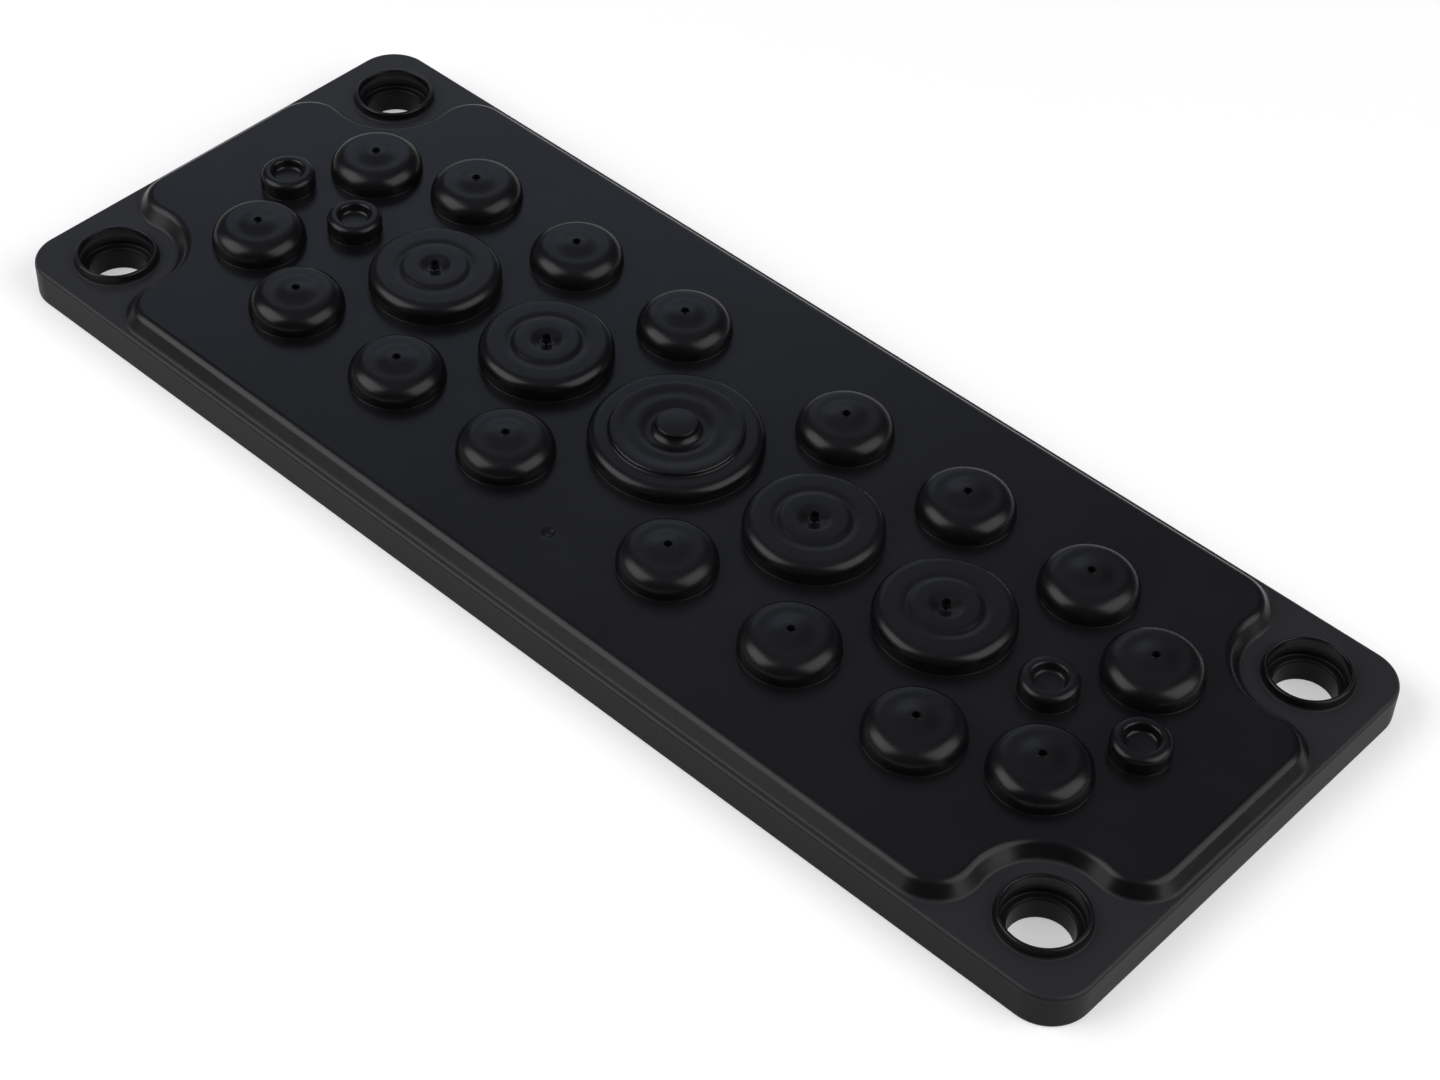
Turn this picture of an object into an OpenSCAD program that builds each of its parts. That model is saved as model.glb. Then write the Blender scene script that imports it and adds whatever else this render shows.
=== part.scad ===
// Cable entry plate: one soft moulding that closes an opening in an enclosure wall.
// Cables are pushed through the thin membranes on its raised field.
// Millimetres, +Z up, +X along the plate. The origin is the middle of the underside.

/* [Plate] */
// Length of the plate
plate_l = 175; // [173:1:190]
// Width of the plate
plate_w = 67.5; // [66:0.5:75]
// Radius of the plate's four corners in plan
corner_r = 5.5; // [3:0.5:8]
// Height of the flange's top above the underside
flange_h = 5; // [4.5:0.1:7]
// Radius along the flange's top edge
edge_r = 0.6; // [0.3:0.1:1]

/* [Raised field] */
// Height of the raised field above the flange
field_h = 2; // [1.5:0.1:3]
// Gap in plan from the plate's edge to the field's top edge
field_gap = 2.45; // [2.3:0.05:3]
// Width in plan of the slope round the field
slope_w = 1.6; // [1:0.1:2]
// Radius along the field's top edge
brow_r = 1; // [0.6:0.1:1.2]
// Radius of the hollow in the field's outline round each screw hole
scallop_r = 9.4; // [8.5:0.1:10]
// Radius of the outward turn on each side of that hollow
turn_r = 4.5; // [3.5:0.1:5]

/* [Screw holes] */
// Distance between hole centres along the plate
hole_dx = 156; // [154:0.5:157]
// Distance between hole centres across the plate
hole_dy = 49.5; // [48:0.5:50]
// Diameter of the through hole
hole_d = 7.7; // [6.6:0.1:8]
// Diameter of the wider seat above the through hole
seat_d = 9.7; // [9:0.1:10]
// Depth of that seat below the lip's top
seat_depth = 2.8; // [2.4:0.1:3.2]
// Height of the soft lip above the flange
lip_h = 1.2; // [0.8:0.1:1.5]
// Width of the lip at its foot
lip_w = 0.75; // [0.6:0.05:1]
// Radius of the lip's crest
lip_r = 0.3; // [0.2:0.05:0.35]
// Radius of the hollow curve at the lip's foot
lip_flare = 0.8; // [0.5:0.1:0.9]

/* [Underside] */
// Width of the sealing rim round the open underside
rim_w = 3.5; // [3.2:0.1:5]
// Depth of the open underside
tray_depth = 4.5; // [4.2:0.1:4.6]
// Wall left between the open underside and the hollows round the holes
boss_wall = 1.6; // [1.2:0.1:2.5]
// Thickness of the membranes at their thinnest
skin_t = 1.2; // [1:0.1:1.4]

/* [Medium membranes] */
// Diameter of the upright wall
medium_d = 12.4; // [12:0.1:12.8]
// Height of the dome's shoulder above the field
medium_h = 2.9; // [2.7:0.05:3.1]
// Radius of the dome's shoulder
medium_shoulder = 2.4; // [2:0.1:2.4]
// Diameter of the shallow ring in the top
medium_dip_d = 6.8; // [6.2:0.1:7.2]
// Depth of that ring below the shoulder
medium_dip = 0.06; // [0.02:0.01:0.12]
// Diameter of the nib's foot
medium_nib_d = 4.8; // [4.2:0.1:5.4]
// Rise of the top from the ring to the nib's foot
medium_rise = 0.04; // [0.02:0.01:0.08]
// Height of the nib above its foot
medium_nib = 0.54; // [0.4:0.02:0.6]

/* [Large membranes] */
// Diameter of the upright wall
large_d = 17.4; // [17:0.1:17.8]
// Height of the shoulder above the field
large_h = 2.65; // [2.5:0.05:3]
// Radius of the shoulder
large_shoulder = 1.5; // [1.2:0.1:1.7]
// Diameter at which the groove starts
large_groove_d = 11.6; // [11.2:0.1:12]
// Height of the groove's floor above the field
large_groove_h = 2.35; // [2.2:0.05:2.4]
// Diameter of the inner ring's foot
large_ring_d = 9.8; // [9.4:0.1:10.2]
// Diameter of the inner ring's crest
large_crest_d = 8.4; // [8:0.1:8.8]
// Height of that crest above the field
large_ring_h = 3.2; // [3:0.05:3.4]
// Radius along the crest's outer edge
large_crest_r = 0.3; // [0.2:0.05:0.4]
// Diameter of the pit's mouth inside the ring
large_mouth_d = 4.4; // [4:0.1:4.8]
// Diameter of the pit's floor
large_pit_d = 3.2; // [2.8:0.1:3.6]
// Height of the pit's floor above the field
large_pit_h = 2.75; // [2.6:0.05:2.9]

/* [Centre membrane] */
// Diameter of the upright wall
centre_d = 22.2; // [21.8:0.1:22.6]
// Height of the outer tier above the field
centre_h = 2.15; // [2:0.05:2.3]
// Radius of the outer tier's shoulder
centre_shoulder = 1.3; // [1:0.1:1.5]
// Diameter of the step inside the outer tier
centre_step_d = 16.7; // [16.4:0.1:17]
// Height of the step above the field
centre_step_h = 2.7; // [2.6:0.05:2.9]
// Outer diameter of the groove inside the step
centre_groove_d = 14.6; // [14.2:0.1:15]
// Height of the groove's floor above the field
centre_groove_h = 2.5; // [2.4:0.05:2.55]
// Diameter of the ring's crest
centre_ring_d = 9.6; // [9.2:0.1:10]
// Height of that crest above the field
centre_ring_h = 2.7; // [2.6:0.05:2.8]
// Diameter of the pit's floor
centre_pit_d = 7; // [6.8:0.1:7.4]
// Height of the pit's floor above the field
centre_pit_h = 2.3; // [2.15:0.05:2.4]
// Diameter of the solid stud in the pit
stud_d = 5.6; // [5:0.1:5.7]
// Height of the stud's top above the field
stud_h = 3.45; // [3.1:0.05:3.6]
// Radius along the stud's top edge
stud_r = 0.5; // [0.3:0.05:0.6]

/* [Small membranes] */
// Diameter of the upright wall
small_d = 7.3; // [7:0.1:7.6]
// Height of the rim above the field
small_h = 2.4; // [2.2:0.05:2.5]
// Radius of the rim's shoulder
small_shoulder = 0.9; // [0.6:0.05:1]
// Diameter of the cup in the top
small_cup_d = 4.4; // [4:0.1:4.8]
// Depth of that cup
small_cup = 1; // [0.7:0.05:1.1]
// Diameter at which the cup's wall turns into its floor
small_turn_d = 3; // [2.4:0.1:3.4]
// Fall of the cup's floor from there to the middle
small_fall = 0.2; // [0.1:0.05:0.3]

/* [Layout] */
// Distance of the two rows of medium membranes from the middle line
row_y = 16; // [15.8:0.1:16.5]
// First medium membrane of a row, from the middle
row_x1 = 13.7; // [13.2:0.1:14]
// Second medium membrane of a row, from the middle
row_x2 = 33.2; // [33:0.1:33.5]
// Third medium membrane of a row, from the middle
row_x3 = 52.1; // [51.8:0.1:52.4]
// Medium membrane at each end of a row, along the plate
end_x = 65.8; // [65.5:0.1:66]
// Medium membrane at each end of a row, from the middle line
end_y = 10.45; // [10.2:0.05:10.6]
// Inner large membrane, from the middle
large_x1 = 22.7; // [22.5:0.1:23]
// Outer large membrane, from the middle
large_x2 = 43.2; // [43:0.1:43.5]
// Inner small membrane, from the middle
small_x1 = 58.7; // [58.4:0.1:59]
// Outer small membrane, from the middle
small_x2 = 71.9; // [71.6:0.1:72.2]

/* [Small details] */
// Diameter of the piercing mark at its mouth
pin_d = 1.2; // [1:0.1:1.4]
// Diameter of the piercing mark at its end
pin_end_d = 0.8; // [0.5:0.1:0.9]
// Depth of the piercing mark
pin_depth = 1.1; // [0.6:0.05:1.2]
// Width in plan of the small walls between the rings of a membrane
wall_slant = 0.5; // [0.2:0.05:0.5]
// Distance of the gate mark from the middle line
gate_y = 22.3; // [20:0.1:24]
// Diameter of the gate mark
gate_d = 1.7; // [1.2:0.1:2]
// Depth of the gate mark
gate_depth = 0.25; // [0.1:0.05:0.4]
// Radius along the plate's bottom edge
sole_r = 0.3; // [0.2:0.05:0.4]

/* [Hidden] */
$fn = 64;
arc_steps = 5;
overlap = 1;
// Bearing at which a ring's sloped side meets its rounded crest
crest_turn = 40;
// Share of a shoulder's radius by which the hollow under it is narrower
shoulder_clear = 0.3;

field_top = flange_h + field_h;
lip_top = flange_h + lip_h;
seat_floor = lip_top - seat_depth;
half = [plate_l, plate_w] / 2;
hole = [hole_dx, hole_dy] / 2;
brow = half - [field_gap, field_gap];
slope_angle = atan2(field_h, slope_w);

// Centres of the outward turns beside a hole, on the long edge and on the short edge
turn_reach = scallop_r + turn_r;
turn_inset = brow - [turn_r, turn_r];
long_turn = [hole.x - sqrt(turn_reach ^ 2 - (turn_inset.y - hole.y) ^ 2), turn_inset.y];
short_turn = [turn_inset.x, hole.y - sqrt(turn_reach ^ 2 - (turn_inset.x - hole.x) ^ 2)];

mediums = [
    [row_x1, row_y], [row_x2, row_y], [row_x3, row_y], [end_x, end_y],
];
larges = [[large_x1, 0], [large_x2, 0]];
smalls = [[small_x1, 0], [small_x2, 0]];

function arc(centre, r, from, to) =
    [for (i = [0:arc_steps]) let (a = from + (to - from) * i / arc_steps) centre + r * [cos(a), sin(a)]];

function bearing(from, to) = atan2(to.y - from.y, to.x - from.x);

// Section through the plate's edge: distance outward from the edge, then height
plate_section = concat(
    [[-corner_r, 0]],
    arc([-sole_r, sole_r], sole_r, -90, 0),
    arc([-edge_r, flange_h - edge_r], edge_r, 0, 90),
    [[-corner_r, flange_h]]
);

// Section through the field's edge: distance outward from its top edge, then height
brow_reach = brow_r * tan(slope_angle / 2);
sink = flange_h / 10;
field_section = concat(
    [[slope_w * (1 + sink / field_h), flange_h - sink]],
    arc([-brow_reach, field_top - brow_r], brow_r, 90 - slope_angle, 90)
);

// Field's outline in plan, moved outward by a distance: one quarter, then all four
function quarter_outline(out) = concat(
    arc(short_turn, turn_r + out, 0, bearing(short_turn, hole)),
    arc(hole, scallop_r - out, 360 + bearing(hole, short_turn), bearing(hole, long_turn)),
    arc(long_turn, turn_r + out, bearing(long_turn, hole), 90)
);
function reversed(list) = [for (i = [len(list) - 1:-1:0]) list[i]];
function mirrored(list, sx, sy) = [for (p = list) [sx * p.x, sy * p.y]];
function field_outline(out) =
    let (q = quarter_outline(out), h = concat(q, reversed(mirrored(q, -1, 1))))
    concat(h, mirrored(h, -1, -1));

// Height profile of a membrane: its wall and shoulder, then the points of its top
function membrane_profile(d, h, shoulder, top) = concat(
    [[0, -overlap], [d / 2, -overlap]],
    arc([d / 2 - shoulder, h - shoulder], shoulder, 0, 90),
    top
);

// Piercing mark at the middle of a membrane, from its mouth at a height
function pin(h) = [[pin_d / 2, h], [pin_end_d / 2, h - pin_depth], [0, h - pin_depth]];

medium_dip_h = medium_h - medium_dip;
medium_profile = membrane_profile(medium_d, medium_h, medium_shoulder, concat(
    [[medium_dip_d / 2, medium_dip_h], [medium_nib_d / 2, medium_dip_h + medium_rise]],
    pin(medium_dip_h + medium_rise + medium_nib)
));
large_profile = membrane_profile(large_d, large_h, large_shoulder, concat(
    [[large_groove_d / 2, large_h], [large_ring_d / 2, large_groove_h]],
    arc([large_crest_d / 2 - large_crest_r, large_ring_h - large_crest_r], large_crest_r, crest_turn, 90),
    [[large_mouth_d / 2, large_ring_h], [large_pit_d / 2, large_pit_h]],
    pin(large_pit_h)
));
centre_profile = membrane_profile(centre_d, centre_h, centre_shoulder, concat(
    [[centre_step_d / 2 + wall_slant, centre_h], [centre_step_d / 2, centre_step_h]],
    [[centre_groove_d / 2, centre_step_h], [centre_groove_d / 2 - wall_slant, centre_groove_h]],
    [[(centre_groove_d + centre_ring_d) / 4, centre_groove_h], [centre_ring_d / 2, centre_ring_h]],
    [[centre_pit_d / 2, centre_pit_h], [stud_d / 2, centre_pit_h]],
    arc([stud_d / 2 - stud_r, stud_h - stud_r], stud_r, 0, 90),
    [[0, stud_h]]
));
small_profile = membrane_profile(small_d, small_h, small_shoulder, [
    [small_cup_d / 2, small_h],
    [small_turn_d / 2, small_h - small_cup + small_fall],
    [0, small_h - small_cup]
]);

// Repeats its children in the four quarters of the plate
module quarters() {
    for (mx = [0, 1], my = [0, 1]) mirror([mx, 0, 0]) mirror([0, my, 0]) children();
}

// Straight run of an edge section from one point to the next, with the outside on its right
module run(from, to, section) {
    translate([from.x, from.y, 0]) rotate([0, 0, bearing(from, to)]) rotate([90, 0, 90])
        linear_extrude(norm(to - from)) polygon([for (p = section) [-p.x, p.y]]);
}

// Outward turn of an edge section about a centre
module turn(centre, r, from, to, section) {
    translate([centre.x, centre.y, 0]) rotate([0, 0, from])
        rotate_extrude(angle = to - from) polygon([for (p = section) [r + p.x, p.y]]);
}

// Flange: a rounded slab with a soft top edge
module flange() {
    inner = half - [corner_r, corner_r];
    linear_extrude(flange_h) square(2 * inner, center = true);
    quarters() {
        turn(inner, corner_r, 0, 90, plate_section);
    }
    for (side = [0, 180]) rotate([0, 0, side]) {
        run([-inner.x, -half.y], [inner.x, -half.y], plate_section);
        run([half.x, -inner.y], [half.x, inner.y], plate_section);
    }
}

// Raised field: a sloped step that swerves round each screw hole, lofted level by level
module field() {
    levels = [for (step = field_section) [for (p = field_outline(step.x)) [p.x, p.y, step.y]]];
    n = len(levels[0]);
    top = len(levels) - 1;
    polyhedron(
        points = [for (level = levels, p = level) p],
        faces = concat(
            [[for (i = [0:n - 1]) i]],
            [for (k = [0:top - 1], i = [0:n - 1]) let (j = (i + 1) % n)
                [k * n + i, (k + 1) * n + i, (k + 1) * n + j, k * n + j]],
            [[for (i = [n - 1:-1:0]) top * n + i]]
        )
    );
}

// Soft lip round a screw hole, with a rounded crest
module lip() {
    inner_r = seat_d / 2;
    rotate_extrude() polygon(concat(
        [[inner_r - overlap, flange_h - overlap], [inner_r + lip_w + lip_flare, flange_h - overlap]],
        arc([inner_r + lip_w + lip_flare, flange_h + lip_flare], lip_flare, 270, 180),
        arc([inner_r + lip_w - lip_r, lip_top - lip_r], lip_r, 0, 90),
        [[inner_r - overlap, lip_top]]
    ));
}

// Stepped screw hole: a seat from above and a through hole
module screw_hole() {
    translate([0, 0, seat_floor]) cylinder(h = seat_depth + overlap, d = seat_d);
    translate([0, 0, -overlap]) cylinder(h = field_top, d = hole_d);
}

// Places its children at every membrane of one size
module at_each(places) {
    for (p = places, sx = [-1, 1], sy = (p.y == 0 ? [1] : [-1, 1]))
        translate([sx * p.x, sy * p.y, 0]) children();
}

// One membrane standing on the field
module membrane(profile) {
    translate([0, 0, field_top]) rotate_extrude() polygon(profile);
}

// Hollow under one membrane, which leaves only its skin and stays clear of its shoulder
module membrane_hollow(d, shoulder, lowest) {
    translate([0, 0, tray_depth - overlap]) cylinder(
        h = field_top + lowest - skin_t - tray_depth + overlap,
        d = d - 2 * skin_t - 2 * shoulder * shoulder_clear
    );
}

// Small round mark where the material was let into the mould
module gate_mark() {
    translate([0, -gate_y, field_top - gate_depth])
        cylinder(h = 2 * gate_depth, d1 = gate_d / 2, d2 = 3 * gate_d / 2);
}

// Open underside, inside the sealing rim and clear of the four screw bosses
module tray() {
    inner = 2 * (half - [rim_w, rim_w]);
    translate([0, 0, -overlap]) linear_extrude(tray_depth + overlap) difference() {
        square(inner, center = true);
        for (sx = [-1, 1], sy = [-1, 1]) translate([sx * hole.x, sy * hole.y]) circle(scallop_r + boss_wall);
    }
}

// The whole moulding
module plate() {
    color([0.09, 0.09, 0.1]) difference() {
        union() {
            flange();
            field();
            quarters() translate([hole.x, hole.y, 0]) lip();
            membrane(centre_profile);
            at_each(larges) membrane(large_profile);
            at_each(mediums) membrane(medium_profile);
            at_each(smalls) membrane(small_profile);
        }
        tray();
        quarters() translate([hole.x, hole.y, 0]) screw_hole();
        membrane_hollow(centre_d, centre_shoulder, min(centre_h, centre_pit_h));
        at_each(larges) membrane_hollow(large_d, large_shoulder, large_groove_h);
        at_each(mediums) membrane_hollow(medium_d, medium_shoulder, medium_dip_h);
        at_each(smalls) membrane_hollow(small_d, small_shoulder, small_h - small_cup);
        gate_mark();
    }
}

plate();
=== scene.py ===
"""Cable entry plate: the moulded rubber skin, its finish and a small studio round it."""

from math import atan2, cos, hypot, pi, radians, sin, sqrt, tan
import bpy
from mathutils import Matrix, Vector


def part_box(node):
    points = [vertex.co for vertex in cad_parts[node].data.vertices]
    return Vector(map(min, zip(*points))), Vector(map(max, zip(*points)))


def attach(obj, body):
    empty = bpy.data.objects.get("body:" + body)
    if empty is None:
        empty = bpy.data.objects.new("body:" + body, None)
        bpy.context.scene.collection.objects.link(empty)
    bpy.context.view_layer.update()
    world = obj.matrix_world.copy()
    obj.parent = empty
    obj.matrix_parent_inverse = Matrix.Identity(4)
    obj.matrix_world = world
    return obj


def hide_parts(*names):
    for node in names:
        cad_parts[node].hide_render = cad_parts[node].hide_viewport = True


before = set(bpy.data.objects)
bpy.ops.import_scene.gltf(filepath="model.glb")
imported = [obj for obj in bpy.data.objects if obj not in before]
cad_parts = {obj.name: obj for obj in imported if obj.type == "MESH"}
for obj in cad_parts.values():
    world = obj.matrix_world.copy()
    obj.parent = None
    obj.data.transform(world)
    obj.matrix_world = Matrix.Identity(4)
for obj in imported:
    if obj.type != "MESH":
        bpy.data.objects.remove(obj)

from types import SimpleNamespace

import bmesh
import bpy
from bpy.props import FloatProperty, FloatVectorProperty, PointerProperty
from bpy.types import Operator, Panel, PropertyGroup
from mathutils import Matrix, Vector

bl_info = {
    "name": "Cable Entry Plate",
    "version": (1, 0, 0),
    "blender": (4, 5, 0),
    "location": "View3D > Sidebar > Entry Plate",
    "description": "Builds a moulded cable entry plate with closed membranes, and a studio for it",
    "category": "Add Mesh",
}

# One millimetre in metres: the mesh work is done in millimetres and the finished mesh is in metres
MM = 0.001
# Widest gap, in millimetres, across which two meeting edges are welded
WELD = 0.002
# Edges that turn more than this stay crisp in the shading
CRISP = radians(48)
# How strongly broad faces lead the shading of a rounded edge, where 50 is even
BROAD_FACES = 90
UP = Vector((0, 0, 1))
MIDDLE = Vector()
PLATE_NAME = "entry_plate"

CAD_LOW, CAD_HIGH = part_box("plate")
CAD_SPAN = CAD_HIGH - CAD_LOW


def length(name, description, value):
    """A length property, whose default is given in millimetres."""
    return FloatProperty(
        name=name, description=description, default=value * MM,
        unit="LENGTH", subtype="DISTANCE", precision=5, min=0.0,
    )


def share(name, description, value):
    """A property between nought and one."""
    return FloatProperty(
        name=name, description=description, default=value, subtype="FACTOR", min=0, max=1,
    )


def paint(name, description, value):
    """A colour property."""
    return FloatVectorProperty(
        name=name, description=description, default=value, subtype="COLOR", size=3, min=0, max=1,
    )


def power(name, description, value):
    """A lamp's power property, in watts."""
    return FloatProperty(name=name, description=description, default=value, unit="POWER", min=0)


def millimetres(group):
    """The lengths of a property group, in millimetres."""
    return SimpleNamespace(**{
        key: round(getattr(group, key) / MM, 5) for key in group.__annotations__
    })


class PlateSizes(PropertyGroup):
    """Flange, raised field, screw holes and underside."""

    plate_l: length("Length", "Length of the plate", CAD_SPAN.x / MM)
    plate_w: length("Width", "Width of the plate", CAD_SPAN.y / MM)
    corner_r: length("Corner radius", "Radius of the four corners in plan", 5.5)
    flange_h: length("Flange height", "Height of the flange above the underside", 5)
    edge_r: length("Edge radius", "Rounding along the flange's top edge", 0.6)
    sole_r: length("Sole radius", "Rounding along the bottom edge", 0.3)
    field_h: length("Field height", "Height of the raised field above the flange", 2)
    field_gap: length("Field gap", "Gap from the plate's edge to the field's top edge", 2.45)
    slope_w: length("Slope width", "Width in plan of the slope round the field", 1.6)
    brow_r: length("Brow radius", "Rounding along the field's top edge", 1.5)
    cove_r: length("Cove radius", "Rounding where the slope meets the flange", 0.5)
    scallop_r: length("Scallop radius", "Radius of the hollow in the field round each hole", 9.4)
    turn_r: length("Turn radius", "Radius of the outward turn beside each hollow", 4.5)
    hole_dx: length("Hole spacing X", "Distance between hole centres along the plate", 156)
    hole_dy: length("Hole spacing Y", "Distance between hole centres across the plate", 49.5)
    hole_d: length("Hole", "Diameter of the through hole", 7.7)
    hole_r: length("Hole rounding", "Rounding along the through hole's lower edge", 0.25)
    seat_d: length("Seat", "Diameter of the wider seat above the through hole", 9.7)
    seat_depth: length("Seat depth", "Depth of the seat below the lip", 2.8)
    seat_r: length("Seat rounding", "Rounding round the seat's floor", 0.25)
    ledge_r: length("Ledge rounding", "Rounding where the seat's floor meets the hole", 0.3)
    lip_h: length("Lip height", "Height of the soft lip above the flange", 1.2)
    lip_w: length("Lip width", "Width of the soft lip at its foot", 0.8)
    lip_crest: length("Lip crest", "Width of the soft lip at its crest", 0.45)
    lip_r: length("Lip radius", "Rounding along the soft lip's crest", 0.2)
    lip_flare: length("Lip flare", "Rounding at the soft lip's foot", 0.1)
    rim_w: length("Rim width", "Width of the sealing rim round the underside", 3.5)
    tray_depth: length("Tray depth", "Depth of the open underside", 4.5)
    tray_mouth_r: length("Tray mouth", "Rounding along the open underside's mouth", 0.3)
    tray_cove_r: length("Tray cove", "Rounding along the open underside's ceiling", 0.5)
    boss_wall: length("Boss wall", "Width of a screw boss beyond the hollow above it", 1.6)
    boss_corner_r: length("Boss corner", "Rounding in plan where a boss meets the rim", 1)
    skin_t: length("Skin", "Thickness of the membranes at their thinnest", 1.2)
    gate_y: length("Gate place", "Distance of the gate mark from the middle line", 22.3)
    gate_d: length("Gate mark", "Diameter of the small gate mark", 1.7)
    gate_floor_d: length("Gate floor", "Diameter of the gate mark's floor", 0.85)
    gate_depth: length("Gate depth", "Depth of the small gate mark", 0.25)
    gate_edge_r: length("Gate edge rounding", "Rounding along the gate mark's edge", 0.2)
    gate_floor_r: length("Gate floor rounding", "Rounding round the gate mark's floor", 0.3)


class MediumSizes(PropertyGroup):
    """The sixteen domed membranes in two rows."""

    wall_d: length("Wall", "Diameter of the upright wall", 12.4)
    height: length("Height", "Height of the dome's shoulder above the field", 2.9)
    shoulder: length("Shoulder", "Radius of the dome's shoulder", 2.4)
    nib_d: length("Nib", "Diameter of the broad nib's foot", 5.6)
    nib_r: length("Nib rounding", "Rounding at the nib's foot", 0.5)
    crown_d: length("Crown", "Diameter of the nib's crown", 2.2)
    crown_h: length("Crown height", "Height of that crown above the field", 3.25)
    crown_r: length("Crown rounding", "Rounding along the crown's edge", 0.4)
    tip_h: length("Tip height", "Height of the piercing mark's rim above the field", 3.45)
    mark_r: length("Mark rounding", "Rounding at the foot of that rim", 0.05)
    row_y: length("Row", "Distance of a row from the middle line", 16)
    row_x1: length("First", "First membrane of a row, from the middle", 13.7)
    row_x2: length("Second", "Second membrane of a row, from the middle", 33.2)
    row_x3: length("Third", "Third membrane of a row, from the middle", 52.1)
    end_x: length("End X", "Membrane at the end of a row, along the plate", 65.8)
    end_y: length("End Y", "Membrane at the end of a row, from the middle line", 10.45)


class LargeSizes(PropertyGroup):
    """The four membranes with a groove and an inner ring."""

    wall_d: length("Wall", "Diameter of the upright wall", 17.4)
    height: length("Height", "Height of the shoulder above the field", 2.65)
    shoulder: length("Shoulder", "Radius of the shoulder", 1.5)
    groove_d: length("Groove", "Diameter at which the groove starts", 10.8)
    groove_h: length("Groove floor", "Height of the groove's floor above the field", 2.5)
    groove_r: length("Groove rounding", "Rounding where the groove starts", 0.3)
    ring_d: length("Ring", "Diameter of the inner ring's foot", 9.4)
    ring_h: length("Ring height", "Height of the inner ring's crest above the field", 2.8)
    ring_r: length("Ring rounding", "Rounding at the inner ring's foot", 0.2)
    crest_d: length("Crest", "Diameter of the inner ring's flat crest", 8)
    crest_r: length("Crest rounding", "Rounding along that crest's outer edge", 0.2)
    mouth_d: length("Mouth", "Diameter of the pit's mouth inside the ring", 4.2)
    mouth_r: length("Mouth rounding", "Rounding along the pit's mouth", 0.25)
    pit_d: length("Pit", "Diameter of the pit's floor", 1.8)
    pit_h: length("Pit floor", "Height of the pit's floor above the field", 2.35)
    pit_r: length("Pit rounding", "Rounding round the pit's floor", 0.2)
    tip_h: length("Tip height", "Height of the piercing mark's rim above the field", 3.35)
    mark_r: length("Mark rounding", "Rounding at the foot of that rim", 0.1)
    inner_x: length("Inner", "Inner membrane, from the middle", 22.7)
    outer_x: length("Outer", "Outer membrane, from the middle", 43.2)


class CentreSizes(PropertyGroup):
    """The stepped membrane in the middle, with its stud."""

    wall_d: length("Wall", "Diameter of the upright wall", 22.2)
    height: length("Height", "Height of the outer tier above the field", 2.15)
    shoulder: length("Shoulder", "Radius of the outer tier's shoulder", 1.3)
    step_d: length("Step", "Diameter of the step inside the outer tier", 16.7)
    step_h: length("Step height", "Height of the step above the field", 2.7)
    step_lean: length("Step lean", "Width in plan of the step's leaning side", 0.15)
    step_foot_r: length("Step foot", "Rounding at the step's foot", 0.2)
    step_r: length("Step rounding", "Rounding along the step's edge", 0.25)
    groove_d: length("Groove", "Outer diameter of the groove inside the step", 14.6)
    groove_h: length("Groove floor", "Height of the groove's floor above the field", 2.58)
    groove_w: length("Groove slope", "Width in plan of the groove's outer slope", 0.8)
    groove_r: length("Groove rounding", "Rounding along the groove's outer edge", 0.5)
    groove_floor_r: length("Groove floor rounding", "Rounding along the groove's floor", 0.4)
    ring_d: length("Ring", "Diameter of the ring's crest", 9.6)
    ring_h: length("Ring height", "Height of that crest above the field", 2.62)
    ring_r: length("Ring rounding", "Rounding of that crest", 0.5)
    pit_d: length("Pit", "Diameter of the pit's floor", 7.6)
    pit_h: length("Pit floor", "Height of the pit's floor above the field", 2.3)
    pit_r: length("Pit rounding", "Rounding round the pit's floor", 0.3)
    stud_d: length("Stud", "Diameter of the stud in the pit", 5.1)
    stud_h: length("Stud height", "Height of the stud's top above the field", 3.45)
    stud_r: length("Stud rounding", "Rounding along the stud's top edge", 0.15)
    stud_lean: length("Stud lean", "Width in plan of the stud's leaning side", 0.1)
    flare_w: length("Flare width", "Width in plan of the stud's flared foot", 0.65)
    flare_h: length("Flare height", "Height of the flared foot above the pit's floor", 0.55)
    flare_r: length("Flare rounding", "Rounding below and above the flared foot", 0.2)


class SmallSizes(PropertyGroup):
    """The four small dished membranes at the ends."""

    wall_d: length("Wall", "Diameter of the upright wall", 7.3)
    height: length("Height", "Height of the rim above the field", 2.4)
    shoulder: length("Shoulder", "Radius of the rim's shoulder", 0.9)
    cup_d: length("Cup", "Diameter of the cup in the top", 4.4)
    cup: length("Cup depth", "Depth of that cup", 1.2)
    cup_lean: length("Cup lean", "Width in plan of the cup's leaning side", 0.3)
    cup_edge_r: length("Cup edge rounding", "Rounding along the cup's edge", 0.3)
    cup_floor_r: length("Cup floor rounding", "Rounding round the cup's floor", 0.35)
    inner_x: length("Inner", "Inner membrane, from the middle", 58.7)
    outer_x: length("Outer", "Outer membrane, from the middle", 71.9)


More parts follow.
